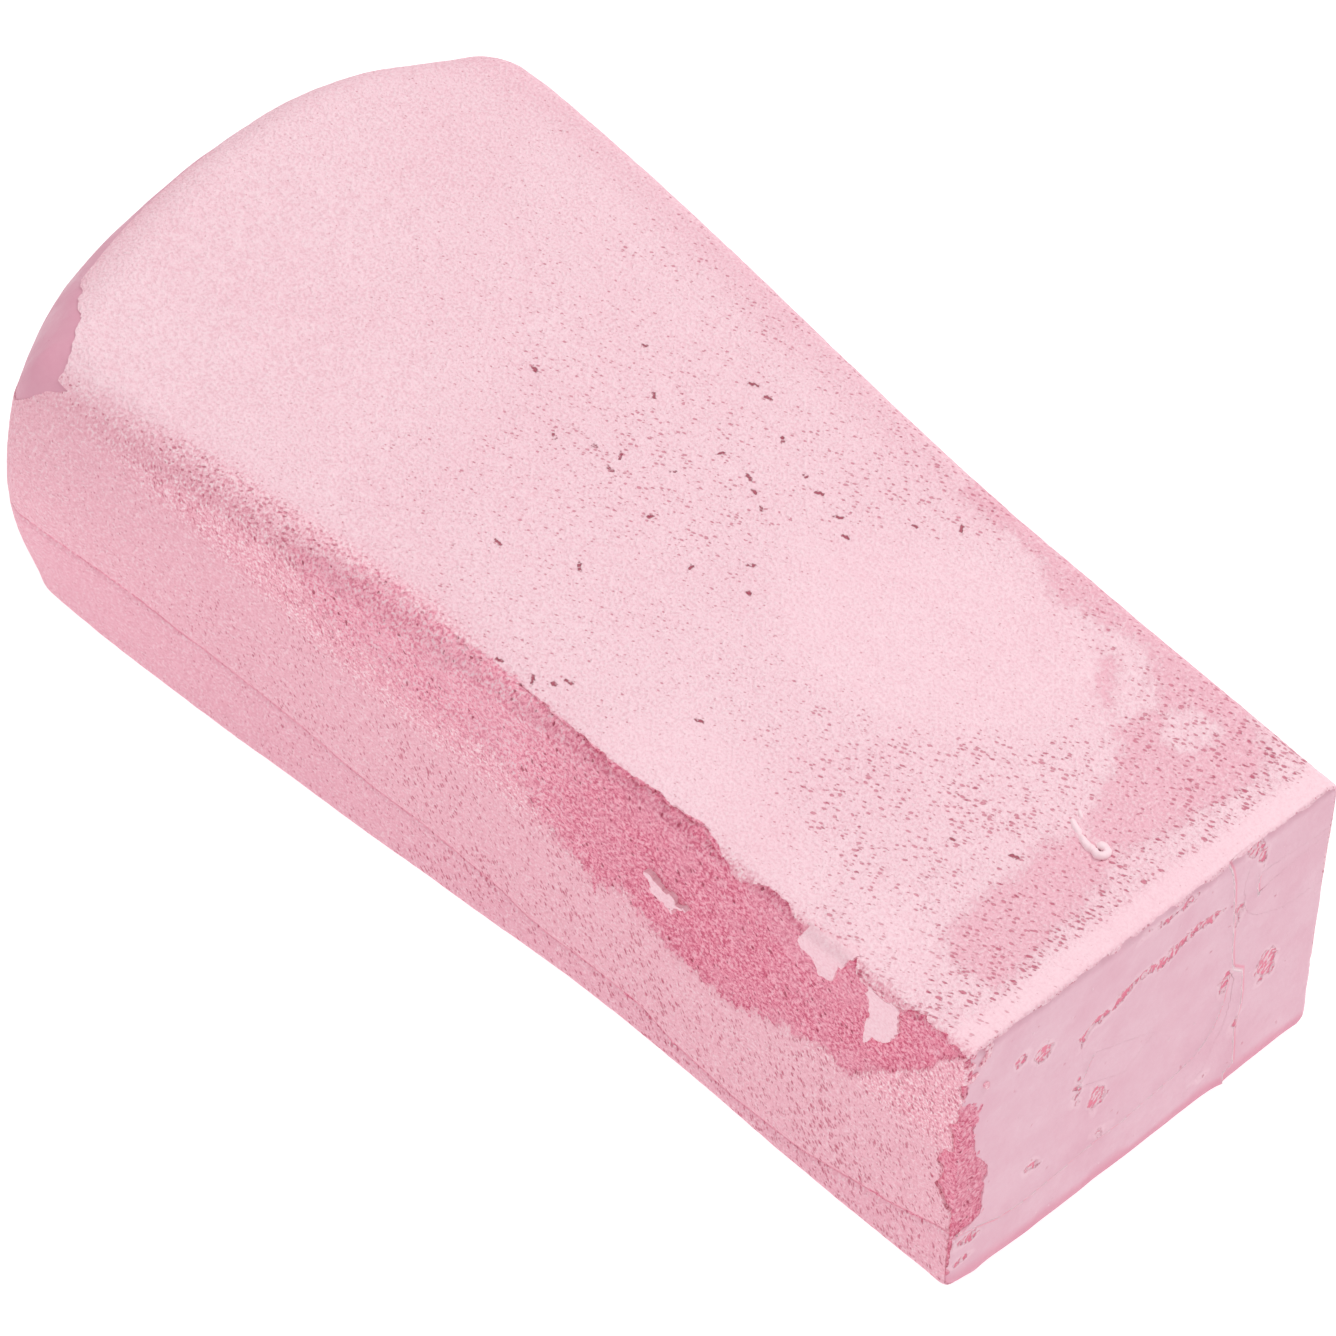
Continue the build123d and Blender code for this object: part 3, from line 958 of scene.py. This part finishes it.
def core_colour(tree):
    faded = trait(tree, "faded")
    ground = tint(tree, times(tree, faded, 0.85), CORE_PINK, FADED_PINK)
    light = tint(tree, faded, CORE_PALE, PALE)
    # The core's crumbs are pale and deep pink grain by grain; the same grain lifts the relief, so the pale crumbs sit
    # high and the deep ones low, partly their own colour and partly painted highlight and painted shade.
    base = tint(tree, times(tree, ramp(tree, core_grain(tree), 0.51, 0.63), 0.8), ground, light)
    deep = times(tree, ramp(tree, core_grain(tree), 0.49, 0.38), both(tree, 0.85, 0.55, faded))
    base = tint(tree, deep, base, CORE_DEEP)
    broad = ramp(tree, cloud(tree, place(tree, shift=(3, 1, 0)), 7.0, 3.0, 0.6), 0.4, 0.7)
    base = tint(tree, times(tree, broad, 0.3), base, DEEPER)
    return tint(tree, times(tree, core_holes(tree), 0.75), base, PIT_DARK)


def crumbled(tree):
    edge = calc(tree, "MULTIPLY_ADD", cloud(tree, place(tree, shift=(2, 5, 0)), 0.9, 4.0, 0.75), 2.6, -1.3)
    return ramp(tree, calc(tree, "ADD", trait(tree, "patch"), edge), -0.15, 0.15)


def streaks(tree):
    """Slanting streaks inside the crumbled patches, from 0 to 1."""
    return ramp(tree, cloud(tree, place(tree, (35, 0, 0), (1, 1, 2.2)), 0.42, 2.0, 0.6), 0.44, 0.54)


def film_relief(tree):
    grain = cloud(tree, place(tree), 0.35, 2.0, 0.5)
    lumps = cloud(tree, place(tree, shift=(2, 6, 2)), 3.5, 2.0, 0.5)
    total = times(tree, grain, 0.03)
    total = calc(tree, "MULTIPLY_ADD", lumps, 0.3, total)
    total = calc(tree, "MULTIPLY_ADD", times(tree, streaks(tree), crumbled(tree)), -0.06, total)
    total = calc(tree, "MULTIPLY_ADD", patch_rim(tree), 0.05, total)
    total = calc(tree, "MULTIPLY_ADD", crease_line(tree, 0.25), 0.2, total)
    total = calc(tree, "MULTIPLY_ADD", motes(tree), 0.12, total)
    return calc(tree, "MULTIPLY_ADD", film_holes(tree), -0.1, total), MM


def film_holes(tree):
    return pores(tree, 2.6, 1.4, (6, 6, 6), -0.05, 0.1, 0.6)


def motes(tree):
    """Rare tiny pale lumps, from 0 to 1."""
    return pores(tree, 3.1, 1.0, (8, 3, 1), -0.05, 0.09, 0.6)


def patch_rim(tree):
    wide = ramp(tree, trait(tree, "patch"), -0.9, -0.2)
    return times(tree, wide, calc(tree, "SUBTRACT", 1.0, crumbled(tree)))


def film_colour(tree):
    broad = ramp(tree, cloud(tree, place(tree, shift=(0, 3, 1)), 11.0, 3.0, 0.6), 0.35, 0.7)
    base = tint(tree, times(tree, broad, 0.6), FILM_PINK, FILM_DEEP)
    dull = ramp(tree, cloud(tree, place(tree, shift=(3, 3, 3)), 0.8, 3.0, 0.7), 0.35, 0.65)
    base = tint(tree, times(tree, dull, 0.25), base, FILM_DEEP)
    base = tint(tree, times(tree, trait(tree, "foot"), 0.9), base, FOOT_PINK)
    base = tint(tree, times(tree, motes(tree), 0.9), base, PALE)
    # Painted shade and painted highlight along the film's folds: a deeper pink line beside each fold and the palest
    # pink on its crest.
    beside = ramp(tree, calc(tree, "ABSOLUTE", calc(tree, "ADD", trait(tree, "crease"), 0.42)), 0.35, 0.0)
    base = tint(tree, times(tree, beside, 0.75), base, CORE_PINK)
    base = tint(tree, times(tree, crease_line(tree, 0.34), 0.9), base, PALEST)
    base = tint(tree, times(tree, patch_rim(tree), 0.35), base, PALE)
    base = tint(tree, times(tree, crumbled(tree), 0.9), base, tint(tree, streaks(tree), PALE_END, CRIMSON))
    return tint(tree, times(tree, film_holes(tree), 0.8), base, PIT_PINK)


# Painted shade: the wide end's film lies in shade, so its colour is mixed half way towards FILM_SHADE.
def far_film_painted_shade_colour(tree):
    return tint(tree, 0.5, film_colour(tree), FILM_SHADE)


def satin(tree):
    return ramp(tree, cloud(tree, place(tree), 4.0, 2.0), 0.3, 0.7, 0.42, 0.6)


top_finish = finish("top_crust_finish", partial(crust_colour, lying=True), chalky, partial(crust_relief, lying=True))
side_finish = finish("side_crust_finish", partial(crust_colour, lying=False), chalky, partial(crust_relief, lying=False))
core_finish = finish("core_finish", core_colour, chalky, core_relief)
film_finish = finish("film_finish", film_colour, satin, film_relief)
crumb_finish = finish("crumb_finish", crumb_colour, chalky, partial(crust_relief, lying=True))
far_film_painted_shade_finish = finish("far_film_painted_shade_finish", far_film_painted_shade_colour, satin, film_relief)


# ---------------------------------------------------------------- the pieces

coarse = 1.0
FINE = 0.4 * coarse
MIDDLE = 0.6 * coarse
ROUGH = 3.0
side_span = shoulder


def widths(*runs):
    """Lattice lines across the width from runs of (from, to, spacing) in millimetres at the shoulder."""
    parts = [spaced(low, high, size) for low, high, size in runs]
    return np.unique(np.round(np.concatenate(parts), 4)) / side_span


def lengths(size):
    return spaced(0, 1, size / length)


def heights(*runs):
    return np.unique(np.round(np.concatenate([spaced(low, high, size) for low, high, size in runs]), 4))


whole = (-side_span, side_span)

core_grid = box_grid(
    lengths(FINE),
    widths((-side_span, -side_span + 9, FINE), (-side_span + 9, side_span, ROUGH)),
    heights((0, 8, MIDDLE), (8, height, FINE)),
)
points, sides = core_grid
points = settle(points)
out = -unit(inward(points))
core_points = points + out * core_rise(points, out)[:, None]
new_piece("core_body", "core", core_points, np.concatenate(list(sides.values())), unrolled(points, out, "left"),
          traits(points, out), core_finish)

top_grid = box_grid(
    lengths(FINE),
    widths((-side_span, side_span, FINE)),
    [0, height - 4, height - 3, height - 2.4, height - 2, height - 1.5, height - 1, height - 0.5, height],
)
sheet("top_crust_sheet", "top_crust", "top", top_grid, top_crust_mask, top_rise, top_finish)

left_grid = box_grid(
    lengths(FINE * 0.85),
    widths((-side_span, -side_span + 3, 0.5), (-side_span + 3, -CORNER_WRAP + 3, 0.8), (-CORNER_WRAP + 3, side_span, 20)),
    heights((0, 3, 1.5), (3, height, FINE * 0.85)),
)
sheet("left_crust_sheet", "left_crust", "left", left_grid, left_crust_mask, left_rise, side_finish)

flake_grid = box_grid(
    np.concatenate([[0], spaced(9 / length, 57 / length, 0.22 * coarse / length), [1]]),
    widths((-side_span, -side_span + 3, 0.22 * coarse), (-side_span + 3, side_span, 30)),
    heights((0, 28, 7), (28, height, 0.22 * coarse)),
)
# The flakes keep a quarter of the left side's painted shade.
sheet("crust_flake_sheets", "crust_flakes", "left", flake_grid, flake_mask, flake_rise, side_finish,
      {"raw": -2.0, "left": 0.25, "lip": 0.5, "band": 0.0, "open": 0.0, "harsh": 0.0, "slit": 3.0})

right_grid = box_grid(
    lengths(MIDDLE),
    widths((-side_span, CORNER_WRAP - 3, 20), (CORNER_WRAP - 3, side_span - 3, 0.8), (side_span - 3, side_span, 0.5)),
    heights((0, 3, 1.5), (3, height - 4, MIDDLE), (height - 4, height, 0.4)),
)
sheet("right_crust_sheet", "right_crust", "right", right_grid, right_crust_mask, crust_rise, side_finish)

base_grid = box_grid(
    lengths(FINE),
    widths((-side_span, -side_span + 3, 0.6), (-side_span + 3, side_span - 3, ROUGH), (side_span - 3, side_span, 0.6)),
    heights((0, 3, 0.5), (3, 23, FINE), (23, height, 12)),
)
sheet("base_crust_tray", "base_crust", "base", base_grid, base_crust_mask, base_rise, side_finish)

near_grid = box_grid(
    [0, 0.3 / length, 0.6 / length, 0.9 / length, 1.3 / length, 1.8 / length, 1],
    spaced(-1, 1, 0.25 * coarse / 30),
    heights((0, height, 0.25 * coarse)),
)
sheet("near_end_film_sheet", "near_end_film", "near", near_grid, near_film_mask, film_rise, film_finish)

far_grid = box_grid(
    np.concatenate([[0, 0.5], spaced(1 - 26 / length, 1, MIDDLE / length)]),
    widths((-side_span, side_span, MIDDLE)),
    heights((0, 8, 4), (8, height, MIDDLE)),
)
sheet("far_end_film_sheet", "far_end_film", "far", far_grid, far_film_mask, film_rise, far_film_painted_shade_finish)


def worm(path, radii, sides=20, rings=40):
    """A lumpy closed roll along a path given by a few points in millimetres."""
    path = np.array(path, float)
    at = np.linspace(0, len(path) - 1, rings)
    centre = np.stack([np.interp(at, range(len(path)), path[:, k]) for k in range(3)], -1)
    ahead = unit(np.gradient(centre, axis=0))
    across = unit(np.cross(ahead, (0, 0, 1)))
    upward = np.cross(across, ahead)
    taper = np.sqrt(np.clip(1 - (2 * at / at[-1] - 1) ** 8, 0.002, 1))
    size = np.interp(at, range(len(radii)), radii) * taper
    angle = np.linspace(0, 2 * np.pi, sides, endpoint=False)
    ring = np.cos(angle)[None, :, None] * across[:, None] + np.sin(angle)[None, :, None] * upward[:, None]
    body = centre[:, None] + ring * size[:, None, None]
    body = body + ring * (0.3 * fractal(body, 0.8, 2, 81) * size[:, None])[..., None]
    ids = np.arange(rings * sides).reshape(rings, sides)
    ids = np.concatenate([ids, ids[:, :1]], 1)
    around = np.stack([ids[:-1, :-1], ids[:-1, 1:], ids[1:, 1:], ids[1:, :-1]], -1).reshape(-1, 4)
    return body.reshape(-1, 3), around, [ids[0, :-1][::-1].tolist(), ids[-1, :-1].tolist()]


def on_top(d, y, lift):
    return (near_x - d, y, height - 0.1 + lift)


RING = (10.9, 1.5)
RING_RADIUS = 0.72
ring_path = [
    on_top(RING[0] + RING_RADIUS * math.cos(a), RING[1] + RING_RADIUS * math.sin(a), 0.35 + 0.1 * math.sin(2 * a))
    for a in np.linspace(0, 2 * math.pi, 16)
]
rolls = [
    worm(ring_path, [0.52, 0.62, 0.66, 0.6, 0.5], rings=60),
    worm([on_top(14.9, 1.7, -0.1), on_top(13.4, 1.2, 0.05), on_top(12.4, 1.0, 0.15), on_top(11.5, 1.1, 0.25)],
         [0.3, 0.55, 0.6, 0.5]),
    worm([on_top(17.0, 2.7, -0.15), on_top(15.6, 2.0, -0.05), on_top(14.4, 1.6, -0.05)], [0.3, 0.5, 0.4]),
    worm([on_top(17.2, 4.2, 0.0), on_top(16.6, 3.8, 0.1), on_top(16.1, 3.6, 0.0)], [0.2, 0.28, 0.2]),
]
roll_points = np.concatenate([r[0] for r in rolls])
roll_faces = []
shift = 0
for body, around, caps in rolls:
    roll_faces += (around + shift).tolist() + [[i + shift for i in cap] for cap in caps]
    shift += len(body)
flat = roll_points[:, :2]
roll_uv = (flat - flat.min(0)) / (flat.max(0) - flat.min(0))
calm_skin = {key: np.zeros(len(roll_points)) for key in ("wall", "left", "end", "below", "band", "open", "harsh", "fold", "rim", "foot", "faded")}
calm_skin.update({"worn": np.full(len(roll_points), -6.0), "lip": np.ones(len(roll_points)),
                  "crease": np.full(len(roll_points), 5.0), "slit": np.full(len(roll_points), 3.0),
                  "raw": np.full(len(roll_points), -2.0)})
new_piece("crumb_rolls", "crumbs", roll_points, roll_faces, roll_uv, calm_skin, crumb_finish)


# ---------------------------------------------------------------- stage, light and camera

def area_light(name, towards, distance, size, power, colour):
    data = bpy.data.lights.new(name, "AREA")
    data.shape = "DISK"
    data.size = size
    data.energy = power
    data.color = colour
    light = bpy.data.objects.new(name, data)
    light.location = Vector(towards).normalized() * distance
    light.rotation_euler = (-Vector(towards)).to_track_quat("-Z", "Y").to_euler()
    bpy.context.scene.collection.objects.link(light)


def flat_material(name, colour, glow):
    material = bpy.data.materials.new(name)
    material.use_nodes = True
    shader = material.node_tree.nodes["Principled BSDF"]
    shader.inputs["Base Color"].default_value = colour
    shader.inputs["Roughness"].default_value = 0.9
    shader.inputs["Specular IOR Level"].default_value = 0.1
    shader.inputs["Emission Color"].default_value = (1, 1, 1, 1)
    shader.inputs["Emission Strength"].default_value = glow
    return material


FLOOR_SPAN = 3.0
floor_mesh = bpy.data.meshes.new("floor")
corners = [(x * FLOOR_SPAN, y * FLOOR_SPAN, 0) for x, y in ((-1, -1), (1, -1), (1, 1), (-1, 1))]
floor_mesh.from_pydata(corners, [], [(0, 1, 2, 3)])
floor_mesh.materials.append(flat_material("floor_paper", (0.45, 0.45, 0.45, 1), 0.78))
floor = bpy.data.objects.new("floor", floor_mesh)
floor.location.z = -0.0003
bpy.context.scene.collection.objects.link(floor)

area_light("key_light", (0.15, 0.6, 1.0), 1.6, 1.0, 12.6, (1, 0.99, 0.98))
area_light("fill_light", (0.18, -1.0, 0.9), 1.8, 1.4, 6, (1, 1, 1))

scene = bpy.context.scene
world = bpy.data.worlds.new("studio")
world.use_nodes = True
world.node_tree.nodes["Background"].inputs["Color"].default_value = (1, 1, 1, 1)
world.node_tree.nodes["Background"].inputs["Strength"].default_value = 0.55
scene.world = world
scene.view_settings.view_transform = "Standard"

# Camera: a long lens looking down on the narrow end's left corner, rolled slightly
FOCAL = 6500 / 1336
SENSOR = 36.0
AZIMUTH = math.radians(45.0)
ELEVATION = math.radians(48.96)
ROLL = math.radians(2.68)
DISTANCE = 0.8042
TARGET = Vector((near_x * MM - 0.07869, 0.0, 0.02361))
SHIFT = (-21.1 / 1336, -11.94 / 1336)

back = Vector((math.sin(AZIMUTH) * math.cos(ELEVATION), -math.cos(AZIMUTH) * math.cos(ELEVATION), math.sin(ELEVATION)))
right = Vector((math.cos(AZIMUTH), math.sin(AZIMUTH), 0))
up = back.cross(right)
rolled_right = right * math.cos(ROLL) + up * math.sin(ROLL)
rolled_up = up * math.cos(ROLL) - right * math.sin(ROLL)
turn = Matrix((rolled_right, rolled_up, back)).transposed().to_4x4()
lens = bpy.data.cameras.new("camera")
lens.sensor_width = SENSOR
lens.lens = FOCAL * SENSOR
lens.shift_x, lens.shift_y = SHIFT
lens.clip_start = 0.01
camera = bpy.data.objects.new("camera", lens)
camera.matrix_world = Matrix.Translation(TARGET + back * DISTANCE) @ turn
scene.collection.objects.link(camera)
scene.camera = camera
